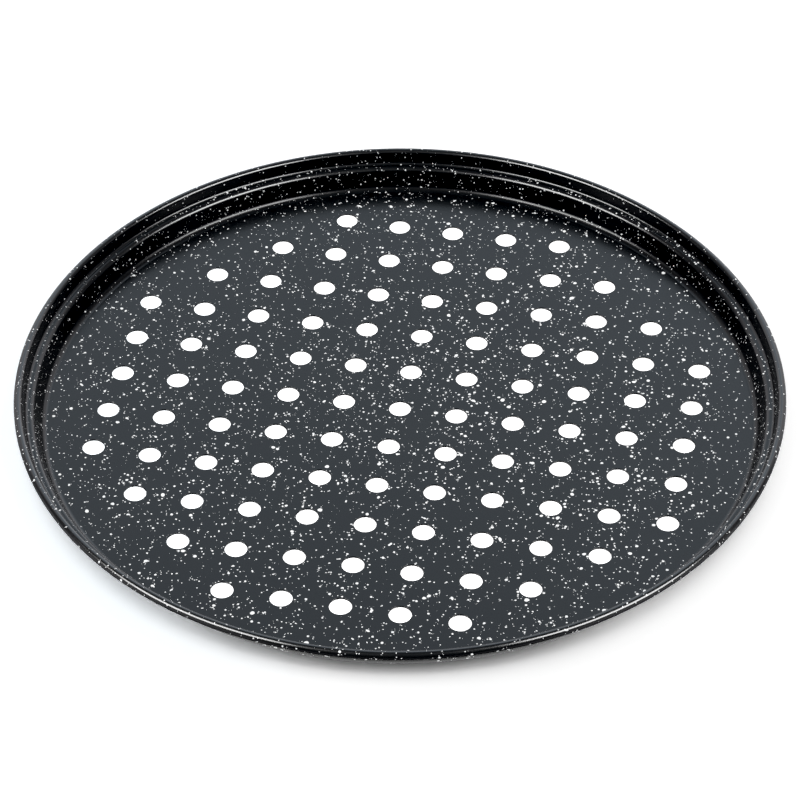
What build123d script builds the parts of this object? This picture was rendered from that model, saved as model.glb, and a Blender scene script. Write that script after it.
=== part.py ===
from build123d import *
import math
import os

# Perforated round pizza pan, pressed from one disc of coated sheet steel, with
# its rim rolled outward over a round wire. All sizes are in millimetres.
# The origin is the centre of the underside; +Z points up, out of the dish.
# The square grid of holes runs along X and Y.

# ---------------------------------------------------------------- dimensions
sheet_t = 0.6            # coated sheet thickness

floor_r = 149.45         # sharp corner between floor and lower wall, top face
ledge_in_r = 152.75      # sharp corner between lower wall and ledge
ledge_out_r = 155.9      # sharp corner between ledge and upper wall
ledge_h = 9.6            # height of the ledge above the floor's top face

floor_fillet = 3.2       # inside radius, floor to lower wall
ledge_in_fillet = 2.4    # radius over the ledge's inner shoulder
ledge_out_fillet = 1.6   # inside radius, ledge to upper wall

bead_r = 1.8             # outer radius of the rolled bead
bead_h = 14.05           # height of the bead's centre above the floor's top face
bead_centre_r = 158.75   # distance of the bead's centre from the pan's axis
curl_end_deg = -118.0    # where the rolled sheet ends, seen in section round the wire

wire_clearance = 0.05    # between the wire and the sheet that is rolled round it
wire_gap_deg = 0.5       # opening between the butted ends of the wire hoop

hole_pitch = 24.0        # square grid
hole_r = 4.6             # radius of each perforation
hole_edge = 0.18         # rounding of the punched edge on the food side
row_half_counts = {0: 5, 1: 5, 2: 5, 3: 4, 4: 3, 5: 2}   # holes each side of a row's middle

# ------------------------------------------------------------ derived values
floor_z = sheet_t
ledge_z = floor_z + ledge_h
bead_z = floor_z + bead_h
bead_inner_r = bead_r - sheet_t
wire_r = bead_inner_r - wire_clearance

# The upper wall leaves the ledge's outer corner and meets the bead's circle as
# a tangent, at this angle round the bead.
reach = math.hypot(ledge_out_r - bead_centre_r, ledge_z - bead_z)
curl_start_deg = (
    math.degrees(math.atan2(ledge_z - bead_z, ledge_out_r - bead_centre_r))
    + 360.0
    - math.degrees(math.acos(bead_r / reach))
)


def on_bead(radius, angle_deg):
    """Point in the section at this radius and angle round the bead's centre."""
    a = math.radians(angle_deg)
    return (bead_centre_r + radius * math.cos(a), bead_z + radius * math.sin(a))


def underside_corner(before, corner, after):
    """Corner of the sheet's underside, one thickness away from both top faces."""
    (x0, z0), (x1, z1), (x2, z2) = before, corner, after
    d1 = math.hypot(x1 - x0, z1 - z0)
    d2 = math.hypot(x2 - x1, z2 - z1)
    n1 = ((z1 - z0) / d1, -(x1 - x0) / d1)
    n2 = ((z2 - z1) / d2, -(x2 - x1) / d2)
    k = sheet_t / (1.0 + n1[0] * n2[0] + n1[1] * n2[1])
    return (x1 + k * (n1[0] + n2[0]), z1 + k * (n1[1] + n2[1]))


# Corners of the section: along the top face, then the same along the underside.
top = [
    (0.0, floor_z),
    (floor_r, floor_z),
    (ledge_in_r, ledge_z),
    (ledge_out_r, ledge_z),
    on_bead(bead_r, curl_start_deg),
]
under = (
    [(0.0, 0.0)]
    + [underside_corner(*top[k - 1 : k + 2]) for k in (1, 2, 3)]
    + [on_bead(bead_inner_r, curl_start_deg)]
)
curl_sweep = curl_end_deg - curl_start_deg      # clockwise, so negative

hole_points = [
    (i * hole_pitch, j * hole_pitch)
    for j in range(-5, 6)
    for i in range(-row_half_counts[abs(j)], row_half_counts[abs(j)] + 1)
]

# ------------------------------------------------------------------ pan shell
# The section runs along the top face of the sheet from the middle of the floor
# to the free edge of the curl, round that edge, and back along the underside.
with BuildPart() as pan_shell:
    with BuildSketch(Plane.XZ) as section:
        with BuildLine():
            FilletPolyline(
                *top, radius=[floor_fillet, ledge_in_fillet, ledge_out_fillet]
            )
            CenterArc((bead_centre_r, bead_z), bead_r, curl_start_deg, curl_sweep)
            Line(on_bead(bead_r, curl_end_deg), on_bead(bead_inner_r, curl_end_deg))
            CenterArc(
                (bead_centre_r, bead_z), bead_inner_r, curl_start_deg, curl_sweep
            )
            FilletPolyline(
                *under,
                radius=[
                    floor_fillet + sheet_t,
                    ledge_in_fillet - sheet_t,
                    ledge_out_fillet + sheet_t,
                ],
            )
            Line(under[0], top[0])
        make_face()
    revolve(axis=Axis.Z)

    # the punched floor
    with BuildSketch(Plane.XY) as perforations:
        with Locations(*hole_points):
            Circle(hole_r)
    extrude(amount=4 * sheet_t, mode=Mode.SUBTRACT)

    # edges rolled over by the punch, on the side that the food lies on
    rolled_edges = (
        pan_shell.edges()
        .filter_by(GeomType.CIRCLE)
        .filter_by(lambda e: abs(e.radius - hole_r) < 1e-4)
        .filter_by(lambda e: abs(e.center().Z - floor_z) < 1e-4)
    )
    fillet(rolled_edges, radius=hole_edge)

pan_shell.part.label = "pan_shell"

# ------------------------------------------------------------------- rim wire
# A hoop of round wire, with a small opening where its two ends butt.
with BuildPart() as rim_wire:
    with BuildSketch(Plane.XZ) as wire_section:
        with Locations((bead_centre_r, bead_z)):
            Circle(wire_r)
    revolve(axis=Axis.Z, revolution_arc=360.0 - wire_gap_deg)

rim_wire.part.label = "rim_wire"

# --------------------------------------------------------------------- output
print("holes", len(hole_points), "edges rounded", len(rolled_edges))
print("wire diameter", 2 * wire_r, "bead outer diameter", 2 * bead_r)
print("overall diameter", 2 * (bead_centre_r + bead_r), "height", bead_z + bead_r)

os.makedirs("parts", exist_ok=True)
export_step(pan_shell.part, "parts/pan_shell.step")
export_step(rim_wire.part, "parts/rim_wire.step")
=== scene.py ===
import math
import random

import bpy
import numpy as np
from mathutils import Matrix, Vector
from mathutils.geometry import delaunay_2d_cdt


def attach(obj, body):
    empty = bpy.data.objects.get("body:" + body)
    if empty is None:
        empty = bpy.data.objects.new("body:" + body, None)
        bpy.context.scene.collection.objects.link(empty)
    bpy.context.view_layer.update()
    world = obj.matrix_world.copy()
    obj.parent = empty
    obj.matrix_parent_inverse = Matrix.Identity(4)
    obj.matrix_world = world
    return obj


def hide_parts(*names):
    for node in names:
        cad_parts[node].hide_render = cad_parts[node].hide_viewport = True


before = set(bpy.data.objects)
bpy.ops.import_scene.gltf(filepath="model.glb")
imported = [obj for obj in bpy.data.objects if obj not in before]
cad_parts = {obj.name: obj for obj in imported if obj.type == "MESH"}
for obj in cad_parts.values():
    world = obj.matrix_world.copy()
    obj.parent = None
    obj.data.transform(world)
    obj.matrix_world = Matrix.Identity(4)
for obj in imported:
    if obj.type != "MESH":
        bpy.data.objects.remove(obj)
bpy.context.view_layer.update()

MM = 0.001

# ------------------------------------------------------------------ dimensions
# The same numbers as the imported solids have, in millimetres.
SHEET = 0.6
FLOOR_R, LEDGE_IN_R, LEDGE_OUT_R, LEDGE_H = 149.45, 152.75, 155.9, 9.6
FLOOR_FILLET, SHOULDER_FILLET, FOOT_FILLET = 3.2, 2.4, 1.6
BEAD_R, BEAD_H, BEAD_CENTRE = 1.8, 14.05, 158.75
CURL_END = -118.0
PITCH, HOLE_R, HOLE_EDGE = 24.0, 4.6, 0.18
ROWS = {0: 5, 1: 5, 2: 5, 3: 4, 4: 3, 5: 2}
HOLES = {
    (i, j) for j in range(-5, 6) for i in range(-ROWS[abs(j)], ROWS[abs(j)] + 1)
}

FLOOR_Z = SHEET
LEDGE_Z = FLOOR_Z + LEDGE_H
BEAD_Z = FLOOR_Z + BEAD_H
BEAD_IN = BEAD_R - SHEET

# The photograph's view stands this far round the pan from the grid of holes.
VIEW_TURN = math.radians(11.4566)


# -------------------------------------------------------------------- section
class Line:
    def __init__(self, a, b):
        self.a, self.b = np.array(a, float), np.array(b, float)
        self.length = float(np.linalg.norm(self.b - self.a))

    def at(self, s):
        """Points and directions at these distances along the line."""
        s = np.asarray(s, float)
        d = (self.b - self.a) / self.length
        return self.a + s[:, None] * d, np.tile(d, (len(s), 1))


class Arc:
    def __init__(self, centre, radius, start, end):
        self.c, self.r = np.array(centre, float), float(radius)
        self.start, self.end = start, end
        self.length = abs(end - start) * self.r

    def at(self, s):
        s = np.asarray(s, float)
        way = 1.0 if self.end > self.start else -1.0
        a = self.start + way * s / self.r
        p = self.c + self.r * np.stack([np.cos(a), np.sin(a)], 1)
        return p, way * np.stack([-np.sin(a), np.cos(a)], 1)


def rounded(points, radii):
    """Straight runs through the points, with a tangent arc at each inner one."""
    points = [np.array(p, float) for p in points]
    out, last = [], points[0]
    for before, here, after, radius in zip(points, points[1:], points[2:], radii):
        u = (here - before) / np.linalg.norm(here - before)
        v = (after - here) / np.linalg.norm(after - here)
        cross = u[0] * v[1] - u[1] * v[0]
        turn = math.atan2(cross, float(u @ v))
        cut = radius * math.tan(abs(turn) / 2)
        p, q = here - u * cut, here + v * cut
        side = math.copysign(1.0, turn)
        centre = p + side * radius * np.array([-u[1], u[0]])
        start = math.atan2(p[1] - centre[1], p[0] - centre[0])
        out += [Line(last, p), Arc(centre, radius, start, start + turn)]
        last = q
    out.append(Line(last, points[-1]))
    return out


def on_bead(radius, a):
    return (BEAD_CENTRE + radius * math.cos(a), BEAD_Z + radius * math.sin(a))


def shifted(before, corner, after):
    """The corner of the face one sheet thickness below and outside."""
    b, c, a = (np.array(p, float) for p in (before, corner, after))
    u, v = (c - b) / np.linalg.norm(c - b), (a - c) / np.linalg.norm(a - c)
    m, n = np.array([u[1], -u[0]]), np.array([v[1], -v[0]])
    return c + SHEET / (1.0 + float(m @ n)) * (m + n)


reach = math.hypot(LEDGE_OUT_R - BEAD_CENTRE, LEDGE_Z - BEAD_Z)
CURL_START = (
    math.atan2(LEDGE_Z - BEAD_Z, LEDGE_OUT_R - BEAD_CENTRE)
    + 2 * math.pi
    - math.acos(BEAD_R / reach)
)
TIP = SHEET / 2  # the curl's free edge is rounded
TIP_AT = math.radians(CURL_END) + TIP / (BEAD_R - TIP)

corners = [
    (0.0, FLOOR_Z),
    (FLOOR_R, FLOOR_Z),
    (LEDGE_IN_R, LEDGE_Z),
    (LEDGE_OUT_R, LEDGE_Z),
    on_bead(BEAD_R, CURL_START),
]
below = (
    [(0.0, 0.0)]
    + [shifted(*corners[k - 1 : k + 2]) for k in (1, 2, 3)]
    + [on_bead(BEAD_IN, CURL_START)]
)
bead_at = (BEAD_CENTRE, BEAD_Z)
TOP = rounded(corners, [FLOOR_FILLET, SHOULDER_FILLET, FOOT_FILLET])
TOP.append(Arc(bead_at, BEAD_R, CURL_START, TIP_AT))
UNDER = rounded(below, [FLOOR_FILLET + SHEET, SHOULDER_FILLET - SHEET, FOOT_FILLET + SHEET])
UNDER.append(Arc(bead_at, BEAD_IN, CURL_START, TIP_AT))
tip_centre = np.array(on_bead(BEAD_R - TIP, TIP_AT))

FLAT_TOP = TOP[0].length      # the floor is flat out to here
FLAT_UNDER = UNDER[0].length
DISC_R = min(FLAT_TOP, FLAT_UNDER) - 0.5


class Path:
    """A face of the sheet, measured along its section from the axis outwards."""

    def __init__(self, parts, side):
        self.parts, self.side = parts, side
        self.ends = np.cumsum([0.0] + [p.length for p in parts])
        self.length = float(self.ends[-1])

    def at(self, s):
        """Radius and height at these distances, and the outward normals."""
        s = np.clip(np.asarray(s, float), 0.0, self.length - 1e-9)
        pos, way = np.empty((len(s), 2)), np.empty((len(s), 2))
        which = np.searchsorted(self.ends, s, side="right") - 1
        for k in np.unique(which):
            m = which == k
            pos[m], way[m] = self.parts[k].at(s[m] - self.ends[k])
        normal = np.stack([-way[:, 1], way[:, 0]], 1) * self.side
        return pos, normal


top_face, under_face = Path(TOP, 1.0), Path(UNDER, -1.0)


# ----------------------------------------------------------------- pan's mesh
def sheen_at(k, tilt):
    """How the coating shines there, from -1, dry, to 1, rubbed bright.

    k counts the parts of the section outwards; tilt is how far the face leans in
    from level, in degrees. The steep walls catch less of the spray and stay dry,
    and the shoulder and the bead are rubbed bright.
    """
    if k == 1:
        return np.interp(tilt, [44, 56], [0, -1])
    if k == 5:
        return np.interp(tilt, [10, 30, 47, 59], [0, 0.5, 0.5, -1])
    if k in (2, 6):
        return 0 * tilt - (1 if k == 2 else 0.75)
    if k == 3:
        return np.interp(tilt, [20, 32, 49, 61], [0, 0.6, 0.6, -1])
    if k == 7:
        return np.interp(tilt, [-25, 5, 48, 60], [0.55, 1, 1, -1])
    return 0 * tilt


def steps(parts, side, inner):
    """Section points with normals and sheen: arcs every few degrees, runs in two."""
    pos, nor, sheen = [], [], []
    for k, part in enumerate(parts):
        if isinstance(part, Line):
            n = 2 if k else 1
        else:
            n = max(4, math.ceil(math.degrees(part.length / part.r) / 6.5))
        s = np.linspace(0.0, part.length, n + 1)
        if k == 0:
            s = np.array([inner, part.length])
        else:
            s = s[1:]
        p, d = part.at(s)
        pos.append(p)
        nor.append(np.stack([-d[:, 1], d[:, 0]], 1) * side)
        tilt = np.degrees(np.arctan2(-nor[-1][:, 0], nor[-1][:, 1]))
        sheen.append(sheen_at(k, tilt) if side > 0 else 0 * tilt)
    return np.concatenate(pos), np.concatenate(nor), np.concatenate(sheen)


def shell_mesh(columns=360, ring=40):
    top_pos, top_nor, top_sheen = steps(TOP, 1.0, DISC_R)
    und_pos, und_nor, und_sheen = steps(UNDER, -1.0, DISC_R)
    turn = TIP_AT - np.linspace(0, math.pi, 9)[1:-1]
    tip_dir = np.stack([np.cos(turn), np.sin(turn)], 1)
    tip_pos = tip_centre + TIP * tip_dir
    section = np.concatenate([top_pos, tip_pos, und_pos[::-1]])
    normals = np.concatenate([top_nor, tip_dir, und_nor[::-1]])
    shine = np.concatenate([top_sheen, 0 * turn, und_sheen[::-1]])

    phi = np.arange(columns) * (2 * math.pi / columns)
    c, s = np.cos(phi)[:, None], np.sin(phi)[:, None]
    verts = np.stack(
        [section[:, 0] * c, section[:, 0] * s, np.tile(section[:, 1], (columns, 1))], -1
    ).reshape(-1, 3)
    norms = np.stack(
        [normals[:, 0] * c, normals[:, 0] * s, np.tile(normals[:, 1], (columns, 1))], -1
    ).reshape(-1, 3)
    rows = len(section)
    faces = []
    for k in range(columns):
        a, b = k * rows, ((k + 1) % columns) * rows
        for m in range(rows - 1):
            faces.append((a + m, a + m + 1, b + m + 1, b + m))
    verts, norms = verts.tolist(), norms.tolist()

    # The floor's two faces: a square cell round each hole, and plain sheet beyond.
    per = ring // 4
    grid = {}

    def vertex(x, y, z, n):
        key = (round(x, 4), round(y, 4), round(z, 4))
        if key not in grid:
            grid[key] = len(verts)
            verts.append([x, y, z])
            norms.append(list(n))
        return grid[key]

    for k in range(columns):
        for m, z in ((0, FLOOR_Z), (rows - 1, 0.0)):
            x, y, _ = verts[k * rows + m]
            grid[(round(x, 4), round(y, 4), round(z, 4))] = k * rows + m

    half = PITCH / 2
    square = []
    for (x0, y0), (x1, y1) in zip(
        [(1, -1), (1, 1), (-1, 1), (-1, -1)], [(1, 1), (-1, 1), (-1, -1), (1, -1)]
    ):
        for q in range(per):
            f = q / per
            square.append((half * (x0 + (x1 - x0) * f), half * (y0 + (y1 - y0) * f)))
    angles = [math.atan2(square[0][1], square[0][0]) + 2 * math.pi * q / ring for q in range(ring)]

    edge_top = [(HOLE_R + HOLE_EDGE, FLOOR_Z, 0.0)]
    for deg in (30, 60, 90):
        a = math.radians(deg)
        edge_top.append(
            (HOLE_R + HOLE_EDGE - HOLE_EDGE * math.sin(a), FLOOR_Z - HOLE_EDGE * (1 - math.cos(a)), a)
        )
    burr = 0.08
    edge_low = []
    for deg in (90, 45, 0):
        a = math.radians(deg)
        edge_low.append((HOLE_R + burr - burr * math.sin(a), burr * (1 - math.cos(a)), a))

    for i, j in sorted(HOLES):
        cx, cy = i * PITCH, j * PITCH
        rings = [[vertex(cx + x, cy + y, FLOOR_Z, (0, 0, 1)) for x, y in square]]
        for radius, z, a in edge_top:
            rings.append([
                vertex(cx + radius * math.cos(t), cy + radius * math.sin(t), z,
                       (-math.cos(t) * math.sin(a), -math.sin(t) * math.sin(a), math.cos(a)))
                for t in angles
            ])
        for radius, z, a in edge_low:
            rings.append([
                vertex(cx + radius * math.cos(t), cy + radius * math.sin(t), z,
                       (-math.cos(t) * math.sin(a), -math.sin(t) * math.sin(a), -math.cos(a)))
                for t in angles
            ])
        rings.append([vertex(cx + x, cy + y, 0.0, (0, 0, -1)) for x, y in square])
        for outer, inner in zip(rings, rings[1:]):
            for q in range(ring):
                r = (q + 1) % ring
                faces.append((outer[q], outer[r], inner[r], inner[q]))

    # plain sheet between the cells and the floor's edge
    pts, index, edges = [], {}, []

    def point(x, y):
        key = (round(x, 4), round(y, 4))
        if key not in index:
            index[key] = len(pts)
            pts.append((x, y))
        return index[key]

    for k in range(columns):
        a = point(DISC_R * math.cos(phi[k]), DISC_R * math.sin(phi[k]))
        b = point(DISC_R * math.cos(phi[(k + 1) % columns]), DISC_R * math.sin(phi[(k + 1) % columns]))
        edges.append((a, b))
    for i, j in sorted(HOLES):
        for side, (di, dj) in enumerate([(1, 0), (0, 1), (-1, 0), (0, -1)]):
            if (i + di, j + dj) in HOLES:
                continue
            line = [square[(side * per + q) % ring] for q in range(per + 1)]
            ids = [point(i * PITCH + x, j * PITCH + y) for x, y in line]
            edges += list(zip(ids, ids[1:]))
    for gx in range(-49, 50):
        for gy in range(-49, 50):
            x, y = gx * 6.0 + (3.0 if gy % 2 else 0.0), gy * 5.2
            cell = (round(x / PITCH), round(y / PITCH))
            near = min(
                max(abs(x - i * PITCH), abs(y - j * PITCH))
                for i in (cell[0] - 1, cell[0], cell[0] + 1)
                for j in (cell[1] - 1, cell[1], cell[1] + 1)
                if (i, j) in HOLES
            ) if any((i, j) in HOLES for i in (cell[0] - 1, cell[0], cell[0] + 1)
                     for j in (cell[1] - 1, cell[1], cell[1] + 1)) else 99.0
            if math.hypot(x, y) < DISC_R - 2.5 and near > half + 2.5:
                point(x, y)
    found = delaunay_2d_cdt([Vector(p) for p in pts], edges, [], 0, 1e-5)
    where = [(v.x, v.y) for v in found[0]]
    for tri in found[2]:
        mx = sum(where[q][0] for q in tri) / 3
        my = sum(where[q][1] for q in tri) / 3
        if (round(mx / PITCH), round(my / PITCH)) in HOLES or math.hypot(mx, my) > DISC_R:
            continue
        up = [vertex(*where[q], FLOOR_Z, (0, 0, 1)) for q in tri]
        down = [vertex(*where[q], 0.0, (0, 0, -1)) for q in tri]
        faces.append(tuple(up))
        faces.append(tuple(reversed(down)))

    mesh = bpy.data.meshes.new("pressed_shell")
    mesh.from_pydata([[q * MM for q in v] for v in verts], [], faces)
    mesh.validate()
    mesh.shade_smooth()
    mesh.normals_split_custom_set_from_vertices(norms)
    sheen = mesh.attributes.new("sheen", "FLOAT", "POINT")
    values = np.zeros(len(mesh.vertices), dtype=np.float32)
    values[: columns * rows] = np.tile(shine, columns)
    sheen.data.foreach_set("value", values)
    mesh.update()
    return mesh


def new_object(name, mesh):
    ob = bpy.data.objects.new(name, mesh)
    bpy.context.scene.collection.objects.link(ob)
    return ob


# -------------------------------------------------------------------- flecks
def near_hole(x, y):
    """Distance from the middle of the nearest hole, and that middle."""
    i, j = np.round(x / PITCH), np.round(y / PITCH)
    is_hole = np.array([(int(a), int(b)) in HOLES for a, b in zip(i, j)])
    d = np.hypot(x - i * PITCH, y - j * PITCH)
    return np.where(is_hole, d, 1e3), i * PITCH, j * PITCH


def surface(face, s0, phi0, u, v, flat):
    """Point and normal at offsets u, round the pan, and v, outwards, from (s0, phi0)."""
    if s0 < flat - 4.0:
        x = s0 * math.cos(phi0) - u * math.sin(phi0) + v * math.cos(phi0)
        y = s0 * math.sin(phi0) + u * math.cos(phi0) + v * math.sin(phi0)
        s, a = np.hypot(x, y), np.arctan2(y, x)
    else:
        (r0, _), = face.at([s0])[0]
        s, a = s0 + v, phi0 + u / r0
    pos, nor = face.at(s)
    x, y = pos[:, 0] * np.cos(a), pos[:, 0] * np.sin(a)
    z = pos[:, 1].copy()
    if s0 < flat:
        d, hx, hy = near_hole(x, y)
        lip = HOLE_R + 0.04
        in_ = d < lip
        k = np.where(in_, lip / np.maximum(d, 1e-6), 1.0)
        x, y = np.where(in_, hx + (x - hx) * k, x), np.where(in_, hy + (y - hy) * k, y)
        d = np.maximum(d, lip)
        if face is top_face:
            roll = np.clip((HOLE_R + HOLE_EDGE - d) / HOLE_EDGE, 0.0, 1.0)
            z -= HOLE_EDGE * (1.0 - np.sqrt(1.0 - roll * roll))
    n = np.stack([nor[:, 0] * np.cos(a), nor[:, 0] * np.sin(a), nor[:, 1]], 1)
    return np.stack([x, y, z], 1), n


class Flecks:
    """Droplets of white enamel, each a low dome with its foot in the coating."""

    def __init__(self):
        self.verts, self.faces = [], []

    def add(self, face, flat, s0, phi0, size, rng, stretch=1.0, heading=0.0, lobes=1.0):
        r, sink = size / 2, 0.012
        if s0 > flat - 1.0:      # on curved sheet, rings close enough to follow it
            n = max(7, math.ceil(2 * math.pi * r * stretch / 0.34))
            count = max(1, math.ceil(r * math.sqrt(stretch) / 0.24))
        elif size < 0.42:
            n, count = 7, 1
        elif size < 0.95:
            n, count, sink = 9, 1, 0.0035
        else:
            n, count = 14, 2
        a = np.arange(n) * (2 * math.pi / n) + rng.random() * 6.283
        wob = 1.0 + 0.05 * (np.array([rng.random() for _ in range(n)]) - 0.5) * lobes
        for k, amp in ((2, 0.10), (3, 0.08), (5, 0.035)):
            wob += amp * lobes * (rng.random() ** 1.5) * np.cos(k * a + rng.random() * 6.283)
        u, v = r * wob * np.cos(a) * math.sqrt(stretch), r * wob * np.sin(a) / math.sqrt(stretch)
        c, s = math.cos(heading), math.sin(heading)
        u, v = u * c - v * s, u * s + v * c
        h = 0.012 + 0.030 * min(1.0, (r / 0.6)) ** 0.7
        base, flip = len(self.verts), face is under_face
        for k in range(count):
            f = 1.0 - (0.28 * k if count == 2 else k / count)
            ring, nr = surface(face, s0, phi0, u * f, v * f, flat)
            up = -sink if k == 0 else h * (1.0 - f ** 2.5) ** 0.5
            self.verts += (ring + nr * up).tolist()
        mid, nm = surface(face, s0, phi0, np.zeros(1), np.zeros(1), flat)
        self.verts += (mid + nm * h).tolist()
        top = len(self.verts) - 1
        new = []
        for k in range(count):
            a0 = base + k * n
            for q in range(n):
                w = (q + 1) % n
                if k < count - 1:
                    new.append((a0 + q, a0 + w, a0 + n + w, a0 + n + q))
                else:
                    new.append((a0 + q, a0 + w, top))
        new.append(tuple(range(base + n - 1, base - 1, -1)))
        self.faces += [f[::-1] for f in new] if flip else new

    def mesh(self, name):
        mesh = bpy.data.meshes.new(name)
        mesh.from_pydata([[q * MM for q in v] for v in self.verts], [], self.faces)
        mesh.validate()
        mesh.shade_smooth()
        mesh.set_sharp_from_angle(angle=math.radians(70))
        mesh.update()
        return mesh


def fleck_size(rng, largest):
    while True:
        d = 0.485 * math.exp(0.475 * rng.gauss(0, 1)) * min(1.0, 0.6 + largest / 5.0)
        if 0.16 < d < largest:
            return d


def spray(out, face, flat, s_from, s_to, per_cm2, rng, largest=2.3, middle=1.0):
    """Flecks over a band of a face, as even as spray is, with a few thicker places."""
    s = np.linspace(s_from, s_to, 400)
    r = face.at(s)[0][:, 0]
    area = float(np.sum((r[1:] + r[:-1]) / 2 * np.diff(s)) * 2 * math.pi) / 100.0
    count = int(per_cm2 * middle * 1.1 * area)
    cum = np.concatenate([[0.0], np.cumsum((r[1:] + r[:-1]) / 2 * np.diff(s))])
    made = 0
    while made < count:
        s0 = float(np.interp(rng.random() * cum[-1], cum, s))
        phi0 = rng.random() * 2 * math.pi
        # the spray is a little finer and thicker over the left and the back
        fine = 0.3 + 1.2 * math.cos(phi0 - VIEW_TURN - math.radians(142.0))
        fine = min(1.0, max(0.0, fine))
        size = fleck_size(rng, largest) * (1.04 - 0.12 * fine)
        fade = min(1.0, max(0.0, (s0 - 28.0) / 34.0))
        chance = (1.0 + (middle - 1.0) * (1.0 - fade)) / middle
        if rng.random() > chance * (1.0 + 0.1 * fine) / 1.1:
            made += 1
            continue
        if s0 < flat - 1e-3:
            x, y = s0 * math.cos(phi0), s0 * math.sin(phi0)
            d, _, _ = near_hole(np.array([x]), np.array([y]))
            if d[0] < HOLE_R + 0.12:
                continue
        stretch = 1.0 + (rng.random() ** 2) * 0.35
        if rng.random() < 0.12:
            stretch = 1.4 + rng.random() * 0.9
        heading = rng.random() * math.pi
        out.add(face, flat, s0, phi0, size, rng, stretch, heading)
        made += 1
        # a big drop splashes a few small ones round itself
        extra = 0
        if size > 0.95 and rng.random() < 0.7:
            extra = rng.randint(1, 4)
        elif size > 0.6 and rng.random() < 0.25:
            extra = 1
        r0 = float(face.at([s0])[0][0, 0])
        for _ in range(extra):
            turn, far = rng.random() * 6.283, size * (0.62 + rng.random() * 1.1)
            s1 = s0 + far * math.sin(turn)
            phi1 = phi0 + far * math.cos(turn) / max(r0, 3.0)
            if not s_from < s1 < s_to:
                continue
            if s1 < flat - 1e-3:
                x, y = s1 * math.cos(phi1), s1 * math.sin(phi1)
                d, _, _ = near_hole(np.array([x]), np.array([y]))
                if d[0] < HOLE_R + 0.12:
                    continue
            out.add(face, flat, s1, phi1, 0.18 + rng.random() ** 2 * 0.4, rng,
                    1.0 + rng.random() * 0.5, turn)


# ----------------------------------------------------------------- materials
def material(name):
    mat = bpy.data.materials.new(name)
    mat.use_nodes = True
    nt = mat.node_tree
    bsdf = nt.nodes["Principled BSDF"]
    return mat, nt, bsdf


def node(nt, kind, **values):
    n = nt.nodes.new(kind)
    for key, value in values.items():
        if hasattr(n, key) and key not in n.inputs:
            setattr(n, key, value)
        else:
            n.inputs[key].default_value = value
    return n


def noise_at(nt, where, scale, detail=2.0, rough=0.5):
    n = node(nt, "ShaderNodeTexNoise")
    n.inputs["Scale"].default_value = scale
    n.inputs["Detail"].default_value = detail
    n.inputs["Roughness"].default_value = rough
    nt.links.new(where, n.inputs["Vector"])
    return n.outputs["Fac"]


def spread(nt, value, low, high, out_low, out_high):
    m = node(nt, "ShaderNodeMapRange")
    nt.links.new(value, m.inputs["Value"])
    m.inputs["From Min"].default_value = low
    m.inputs["From Max"].default_value = high
    m.inputs["To Min"].default_value = out_low
    m.inputs["To Max"].default_value = out_high
    return m.outputs["Result"]


def coating():
    """Satin dark grey non-stick coat: sprayed, so faintly mottled and orange-peeled."""
    mat, nt, bsdf = material("nonstick_coat")
    link = nt.links.new
    where = node(nt, "ShaderNodeTexCoord").outputs["Object"]

    broad = noise_at(nt, where, 26.0, 2.0)
    mist = noise_at(nt, where, 5200.0, 2.0, 0.6)
    tone = node(nt, "ShaderNodeMix", data_type="RGBA")
    link(spread(nt, broad, 0.35, 0.65, 0.0, 1.0), tone.inputs["Factor"])
    tone.inputs[6].default_value = (0.0024, 0.0030, 0.0040, 1)
    tone.inputs[7].default_value = (0.0036, 0.0042, 0.0050, 1)
    dust = node(nt, "ShaderNodeMix", data_type="RGBA")
    link(spread(nt, mist, 0.66, 0.80, 0.0, 0.35), dust.inputs["Factor"])
    link(tone.outputs[2], dust.inputs[6])
    dust.inputs[7].default_value = (0.020, 0.023, 0.026, 1)
    link(dust.outputs[2], bsdf.inputs["Base Color"])

    blotch = noise_at(nt, where, 70.0, 3.0)
    grain = noise_at(nt, where, 2400.0, 2.0)
    rough = node(nt, "ShaderNodeMath", operation="ADD")
    link(spread(nt, blotch, 0.3, 0.7, 0.185, 0.23), rough.inputs[0])
    link(spread(nt, grain, 0.3, 0.7, -0.015, 0.025), rough.inputs[1])
    link(rough.outputs[0], bsdf.inputs["Roughness"])
    sheen = node(nt, "ShaderNodeAttribute", attribute_name="sheen").outputs["Fac"]
    shine = node(nt, "ShaderNodeMath", operation="ADD")
    link(spread(nt, sheen, -1.0, 0.0, 0.05, 0.5), shine.inputs[0])
    link(spread(nt, sheen, 0.0, 1.0, 0.0, 0.5), shine.inputs[1])
    link(shine.outputs[0], bsdf.inputs["Specular IOR Level"])

    peel = noise_at(nt, where, 620.0, 2.0, 0.4)
    fine = noise_at(nt, where, 2600.0, 2.0, 0.5)
    height = node(nt, "ShaderNodeMath", operation="MULTIPLY_ADD")
    link(fine, height.inputs[0])
    height.inputs[1].default_value = 0.16
    link(peel, height.inputs[2])
    bump = node(nt, "ShaderNodeBump")
    bump.inputs["Strength"].default_value = 1.0
    bump.inputs["Distance"].default_value = 0.0000035
    link(height.outputs[0], bump.inputs["Height"])
    link(bump.outputs["Normal"], bsdf.inputs["Normal"])
    bsdf.inputs["IOR"].default_value = 1.5
    return mat


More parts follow.
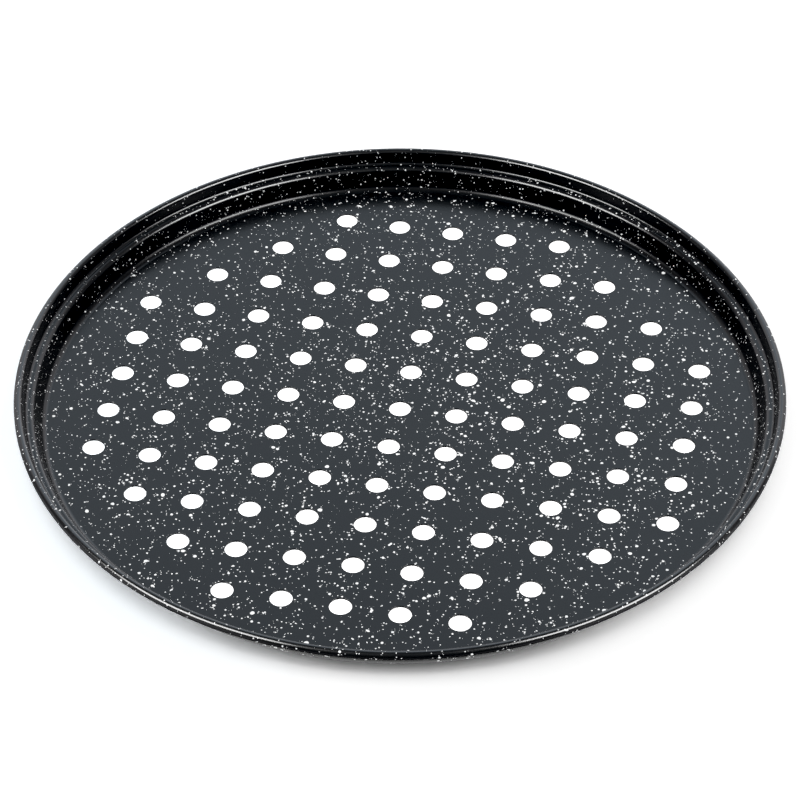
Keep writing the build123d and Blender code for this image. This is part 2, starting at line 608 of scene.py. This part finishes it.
def enamel():
    """The white of the flecks, each a little different where it lies thin."""
    mat, nt, bsdf = material("white_enamel")
    link = nt.links.new
    where = node(nt, "ShaderNodeTexCoord").outputs["Object"]
    tone = node(nt, "ShaderNodeMix", data_type="RGBA")
    link(spread(nt, noise_at(nt, where, 900.0, 2.0), 0.35, 0.65, 0.0, 1.0), tone.inputs["Factor"])
    tone.inputs[6].default_value = (0.78, 0.80, 0.81, 1)
    tone.inputs[7].default_value = (0.92, 0.92, 0.91, 1)
    link(tone.outputs[2], bsdf.inputs["Base Color"])
    link(spread(nt, noise_at(nt, where, 1500.0), 0.3, 0.7, 0.26, 0.40), bsdf.inputs["Roughness"])
    return mat


def drawn_wire():
    """Bright drawn steel: fine scratches along the wire and a dull film in places."""
    mat, nt, bsdf = material("drawn_steel_wire")
    link = nt.links.new
    where = node(nt, "ShaderNodeTexCoord").outputs["Object"]
    xyz = node(nt, "ShaderNodeSeparateXYZ")
    link(where, xyz.inputs[0])
    turn = node(nt, "ShaderNodeMath", operation="ARCTAN2")
    link(xyz.outputs[1], turn.inputs[0])
    link(xyz.outputs[0], turn.inputs[1])
    flat = node(nt, "ShaderNodeCombineXYZ")
    link(xyz.outputs[0], flat.inputs[0])
    link(xyz.outputs[1], flat.inputs[1])
    far = node(nt, "ShaderNodeVectorMath", operation="LENGTH")
    link(flat.outputs[0], far.inputs[0])
    along = node(nt, "ShaderNodeCombineXYZ")
    slow = node(nt, "ShaderNodeMath", operation="MULTIPLY")
    link(turn.outputs[0], slow.inputs[0])
    slow.inputs[1].default_value = 0.02
    link(slow.outputs[0], along.inputs[0])
    link(far.outputs["Value"], along.inputs[1])
    link(xyz.outputs[2], along.inputs[2])
    scratch = noise_at(nt, along.outputs[0], 9000.0, 3.0, 0.7)
    film = noise_at(nt, where, 180.0, 3.0)
    tone = node(nt, "ShaderNodeMix", data_type="RGBA")
    link(spread(nt, film, 0.35, 0.7, 0.0, 1.0), tone.inputs["Factor"])
    tone.inputs[6].default_value = (0.60, 0.59, 0.57, 1)
    tone.inputs[7].default_value = (0.42, 0.40, 0.37, 1)
    link(tone.outputs[2], bsdf.inputs["Base Color"])
    bsdf.inputs["Metallic"].default_value = 1.0
    link(spread(nt, scratch, 0.3, 0.7, 0.24, 0.46), bsdf.inputs["Roughness"])
    bump = node(nt, "ShaderNodeBump")
    bump.inputs["Strength"].default_value = 0.5
    bump.inputs["Distance"].default_value = 0.000004
    link(scratch, bump.inputs["Height"])
    link(bump.outputs["Normal"], bsdf.inputs["Normal"])
    return mat


# -------------------------------------------------------------------- pieces
coat, white, steel = coating(), enamel(), drawn_wire()

shell = new_object("pressed_shell", shell_mesh())
shell.data.materials.append(coat)
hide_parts("pan_shell")
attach(shell, "root")

rng = random.Random(20)
for name, face, flat, s_from, s_to, density, largest, middle in (
    ("flecks_floor", top_face, FLAT_TOP, 0.0, FLAT_TOP, 11.8, 2.1, 1.35),
    ("flecks_lower_wall", top_face, FLAT_TOP, FLAT_TOP, top_face.ends[4] - 1.0, 17.0, 0.95, 1.0),
    ("flecks_ledge", top_face, FLAT_TOP, top_face.ends[4] - 1.0, top_face.ends[6] - 1.0, 22.0, 1.2, 1.0),
    ("flecks_upper_wall", top_face, FLAT_TOP, top_face.ends[6] - 1.0, top_face.ends[7] + 1.0, 10.0, 0.8, 1.0),
    ("flecks_bead", top_face, FLAT_TOP, top_face.ends[7] + 1.0, top_face.length - 0.3, 10.5, 1.25, 1.0),
    ("flecks_underside", under_face, FLAT_UNDER, 0.0, under_face.length - 7.6, 9.0, 1.5, 1.0),
):
    drops = Flecks()
    spray(drops, face, flat, s_from, s_to, density, rng, largest, middle)
    ob = new_object(name, drops.mesh(name))
    ob.data.materials.append(white)
    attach(ob, "root")
    print(name, "vertices", len(drops.verts), "faces", len(drops.faces))

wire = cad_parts["rim_wire"]
wire.data.materials.clear()
wire.data.materials.append(steel)


# --------------------------------------------------------------------- stage
def turned(x, y, z):
    """A place given in the photograph's own directions: right, away and up."""
    return Matrix.Rotation(VIEW_TURN, 3, "Z") @ Vector((x, y, z))


ground_mesh = bpy.data.meshes.new("ground")
sides = 96
ring_pts = [(14 * math.cos(2 * math.pi * k / sides), 14 * math.sin(2 * math.pi * k / sides), -0.00006)
            for k in range(sides)]
ground_mesh.from_pydata(ring_pts, [], [tuple(range(sides))])
ground = new_object("ground", ground_mesh)
g_mat, g_nt, g_bsdf = material("floor_painted_light_and_shade")
g_nt.nodes.remove(g_bsdf)
g_diffuse = g_nt.nodes.new("ShaderNodeBsdfDiffuse")
g_nt.links.new(g_diffuse.outputs[0], g_nt.nodes["Material Output"].inputs["Surface"])
g_where = node(g_nt, "ShaderNodeTexCoord").outputs["Object"]
g_far = node(g_nt, "ShaderNodeVectorMath", operation="LENGTH")
g_nt.links.new(g_where, g_far.inputs[0])


def g_math(kind, a, b):
    m = node(g_nt, "ShaderNodeMath", operation=kind)
    for socket, value in zip(m.inputs, (a, b)):
        if isinstance(value, (int, float)):
            socket.default_value = value
        else:
            g_nt.links.new(value, socket)
    return m.outputs[0]


def g_along(x, y, z):
    m = node(g_nt, "ShaderNodeVectorMath", operation="DOT_PRODUCT")
    g_nt.links.new(g_where, m.inputs[0])
    m.inputs[1].default_value = turned(x, y, z)
    return m.outputs["Value"]


# Painted light and shade on the floor: a painted brightening just outside the rim, a painted contact shadow under the
# front of the foot, painted shade near the rim on the right, and a cool tint towards the left painted to match the
# colour of the shade there.
g_away = g_far.outputs["Value"]
# Painted light: the floor is made brighter just outside the rim, fading out further away.
g_painted_light = node(g_nt, "ShaderNodeMapRange", interpolation_type="SMOOTHSTEP")
g_nt.links.new(g_away, g_painted_light.inputs["Value"])
for socket, value in (("From Min", 0.1555), ("From Max", 0.1678), ("To Min", 1.60), ("To Max", 1.04)):
    g_painted_light.inputs[socket].default_value = value
# Painted shadow: the floor is darkened in a ring under the front of the foot.
g_painted_shadow = g_math("MINIMUM", spread(g_nt, g_away, 0.1400, 0.1465, 0.0, 0.84),
               spread(g_nt, g_away, 0.1478, 0.1555, 0.84, 0.0))
g_painted_shadow = g_math("MULTIPLY", g_painted_shadow, spread(g_nt, g_along(0.0, -1.0, 0.0), 0.122, 0.151, 0.0, 1.0))
g_light_and_shade_level = g_math("MULTIPLY", g_painted_light.outputs["Result"], g_math("SUBTRACT", 1.0, g_painted_shadow))
# Painted shade: on the right the floor is a little darker near the rim and a little brighter further out.
g_painted_shade_right = spread(g_nt, g_along(1.0, 0.0, 0.0), 0.0, 0.06, 0.0, 1.0)
g_painted_shade_right = g_math("MULTIPLY", g_painted_shade_right, spread(g_nt, g_away, 0.160, 0.171, -0.075, 0.02))
g_light_and_shade_level = g_math("MULTIPLY", g_light_and_shade_level, g_math("ADD", 1.0, g_painted_shade_right))
# Painted shade colour: a cool tint towards the left, matching the colour of the shade there.
g_cool_shade_tint = node(g_nt, "ShaderNodeMix", data_type="RGBA")
g_nt.links.new(spread(g_nt, g_along(1.0, 0.0, 0.0), -0.11, -0.03, 0.0, 1.0), g_cool_shade_tint.inputs["Factor"])
g_cool_shade_tint.inputs[6].default_value = (0.957, 1.0, 1.03, 1)
g_cool_shade_tint.inputs[7].default_value = (1.0, 1.0, 1.0, 1)
g_tone = node(g_nt, "ShaderNodeVectorMath", operation="SCALE")
g_nt.links.new(g_cool_shade_tint.outputs[2], g_tone.inputs[0])
g_nt.links.new(g_light_and_shade_level, g_tone.inputs["Scale"])
g_nt.links.new(g_tone.outputs[0], g_diffuse.inputs["Color"])
ground_mesh.materials.append(g_mat)
ground.visible_glossy = False

# A glowing strip round the foot, seen only in reflections: a painted reflection of pale floor for the outer wall to
# mirror.
strip_mesh = bpy.data.meshes.new("reflected_glow_strip")
strip_pts = [(r * math.cos(2 * math.pi * k / sides), r * math.sin(2 * math.pi * k / sides), -0.00003)
             for r in (0.1499, 0.1517) for k in range(sides)]
strip_mesh.from_pydata(
    strip_pts, [],
    [(k, sides + k, sides + (k + 1) % sides, (k + 1) % sides) for k in range(sides)])
strip = new_object("reflected_glow_strip", strip_mesh)
s_mat, s_nt, s_bsdf = material("glowing_reflection_strip")
s_nt.nodes.remove(s_bsdf)
# The strip glows though it is no lamp; it is hidden from the camera, from diffuse light and from shadows.
s_glow = s_nt.nodes.new("ShaderNodeEmission")
s_glow.inputs["Strength"].default_value = 1.15
s_nt.links.new(s_glow.outputs[0], s_nt.nodes["Material Output"].inputs["Surface"])
strip_mesh.materials.append(s_mat)
strip.visible_camera = strip.visible_diffuse = strip.visible_shadow = False


def area(name, place, size_x, size_y, power, long_way=None, glossy=True, diffuse=True):
    data = bpy.data.lights.new(name, "AREA")
    data.shape = "RECTANGLE"
    data.size, data.size_y = size_x, size_y
    data.energy = power
    ob = bpy.data.objects.new(name, data)
    bpy.context.scene.collection.objects.link(ob)
    here = turned(*place)
    back = here.normalized()
    x = turned(*long_way) if long_way else Vector((0, 0, 1)).cross(back)
    x = (x - back * x.dot(back)).normalized()
    y = back.cross(x)
    ob.matrix_world = Matrix(
        ((x[0], y[0], back[0], here[0]), (x[1], y[1], back[1], here[1]),
         (x[2], y[2], back[2], here[2]), (0, 0, 0, 1))
    )
    ob.visible_camera = False
    ob.visible_glossy = glossy
    ob.visible_diffuse = diffuse
    return ob


area("soft_left", (-0.72, -0.42, 0.715), 0.75, 0.50, 18.0, (0.52, -0.37, 0.30), diffuse=False)
area("soft_right", (0.72, -0.42, 0.715), 0.75, 0.50, 18.0, (0.52, 0.37, -0.30), diffuse=False)

# The surroundings: a pale backdrop to the camera, even soft light for diffuse
# faces, and for mirrored rays a big pale card behind the pan in a dark room.
world = bpy.data.worlds.new("studio")
bpy.context.scene.world = world
world.use_nodes = True
world.cycles.sampling_method = "NONE"
wt = world.node_tree
wt.nodes.clear()
w_link = wt.links.new
out = wt.nodes.new("ShaderNodeOutputWorld")
path = wt.nodes.new("ShaderNodeLightPath")
coords = wt.nodes.new("ShaderNodeTexCoord")
turn_back = wt.nodes.new("ShaderNodeVectorRotate")
turn_back.rotation_type = "Z_AXIS"
turn_back.inputs["Angle"].default_value = -VIEW_TURN
w_link(coords.outputs["Generated"], turn_back.inputs["Vector"])
sep = wt.nodes.new("ShaderNodeSeparateXYZ")
w_link(turn_back.outputs[0], sep.inputs[0])


def ramp(value, low, high, out_low, out_high):
    m = wt.nodes.new("ShaderNodeMapRange")
    m.interpolation_type = "SMOOTHSTEP"
    w_link(value, m.inputs["Value"])
    m.inputs["From Min"].default_value = low
    m.inputs["From Max"].default_value = high
    m.inputs["To Min"].default_value = out_low
    m.inputs["To Max"].default_value = out_high
    return m.outputs["Result"]


def math_node(kind, a, b):
    m = wt.nodes.new("ShaderNodeMath")
    m.operation = kind
    for socket, value in zip(m.inputs, (a, b)):
        if isinstance(value, (int, float)):
            socket.default_value = value
        else:
            w_link(value, socket)
    return m.outputs[0]


def light(colour, strength):
    n = wt.nodes.new("ShaderNodeBackground")
    n.inputs["Color"].default_value = (*colour, 1)
    if isinstance(strength, (int, float)):
        n.inputs["Strength"].default_value = strength
    else:
        w_link(strength, n.inputs["Strength"])
    return n.outputs[0]


CARD = 1.18
right_way, away, up_way = sep.outputs[0], sep.outputs[1], sep.outputs[2]
aside = math_node("ABSOLUTE", right_way, 0.0)
card = math_node("MULTIPLY", ramp(aside, 0.02, 0.22, 1.0, 1.28), ramp(aside, 0.36, 0.54, 1.0, 0.64))
card = math_node("MULTIPLY", card, ramp(up_way, 0.60, 1.0, 1.0, 0.10))
lean = math_node("MINIMUM", math_node("MAXIMUM", right_way, -0.22), 0.22)
card = math_node("ADD", card, math_node("MULTIPLY", math_node("MULTIPLY", card, lean), 0.5))
card = math_node("MULTIPLY", card, ramp(away, 0.36, 0.62, 0.0, 1.0))
card = math_node("MULTIPLY", card, ramp(up_way, -0.20, 0.10, 0.58, 1.0))
room = ramp(up_way, 0.0, 0.75, 0.01, 0.10)
low_band = math_node("MULTIPLY", ramp(up_way, 0.06, 0.26, 1.0, 0.0), ramp(up_way, -0.85, -0.15, 0.5, 1.0))
low_band = math_node("MULTIPLY", low_band, ramp(up_way, -0.90, -0.62, 0.0, 1.0))
low_band = math_node("MULTIPLY", low_band, ramp(away, 0.30, 0.50, 0.62, 0.0))
low_band = math_node("MULTIPLY", low_band, ramp(away, -0.90, -0.55, 0.0, 1.0))
mirrored = math_node("MAXIMUM", math_node("MULTIPLY", card, CARD), room)
mirrored = math_node("MAXIMUM", mirrored, low_band)
seen = light((0.77, 0.885, 1.0), mirrored)
cool = wt.nodes.new("ShaderNodeMix")
cool.data_type = "RGBA"
cool.inputs[6].default_value = (0.775, 0.885, 0.99, 1)
cool.inputs[7].default_value = (0.93, 0.93, 0.97, 1)
w_link(math_node("MAXIMUM", ramp(aside, 0.1, 0.5, 0.0, 1.0), ramp(up_way, 0.15, 0.45, 1.0, 0.0)), cool.inputs["Factor"])
w_link(cool.outputs[2], seen.node.inputs["Color"])
fill = light((1.0, 1.0, 1.0), ramp(up_way, 0.2, 1.0, 0.95, 1.6))
plain = light((1.0, 1.0, 1.0), 1.05)
mix_a, mix_b = wt.nodes.new("ShaderNodeMixShader"), wt.nodes.new("ShaderNodeMixShader")
w_link(path.outputs["Is Glossy Ray"], mix_a.inputs[0])
w_link(fill, mix_a.inputs[1])
w_link(seen, mix_a.inputs[2])
w_link(path.outputs["Is Camera Ray"], mix_b.inputs[0])
w_link(mix_a.outputs[0], mix_b.inputs[1])
w_link(plain, mix_b.inputs[2])
w_link(mix_b.outputs[0], out.inputs["Surface"])

view = bpy.context.scene.view_settings
view.view_transform = "Standard"
view.look = "None"
view.exposure = 0.0
view.gamma = 1.0
view.use_curve_mapping = True
view.curve_mapping.black_level = (0.0050, 0.0050, 0.0050)
view.curve_mapping.update()

# -------------------------------------------------------------------- camera
# Fitted to the grid of holes: 41.3 degrees above the floor, a long lens.
cam_data = bpy.data.cameras.new("camera")
cam_data.sensor_width = 36.0
cam_data.lens = 3481.72 / 800 * 36.0
cam_data.clip_start, cam_data.clip_end = 0.05, 100.0
camera = bpy.data.objects.new("camera", cam_data)
bpy.context.scene.collection.objects.link(camera)
right = turned(0.99998859, -0.00315178, -0.00358858)
up = turned(0.00477615, 0.65989167, 0.75134558)
back = turned(0.0, -0.75135415, 0.65989919)
at = turned(0.000824640, -45.6374747, 40.2789440) * (PITCH * MM)
at.z += SHEET * MM
camera.matrix_world = Matrix(
    ((right[0], up[0], back[0], at[0]), (right[1], up[1], back[1], at[1]),
     (right[2], up[2], back[2], at[2]), (0, 0, 0, 1))
)
bpy.context.scene.camera = camera
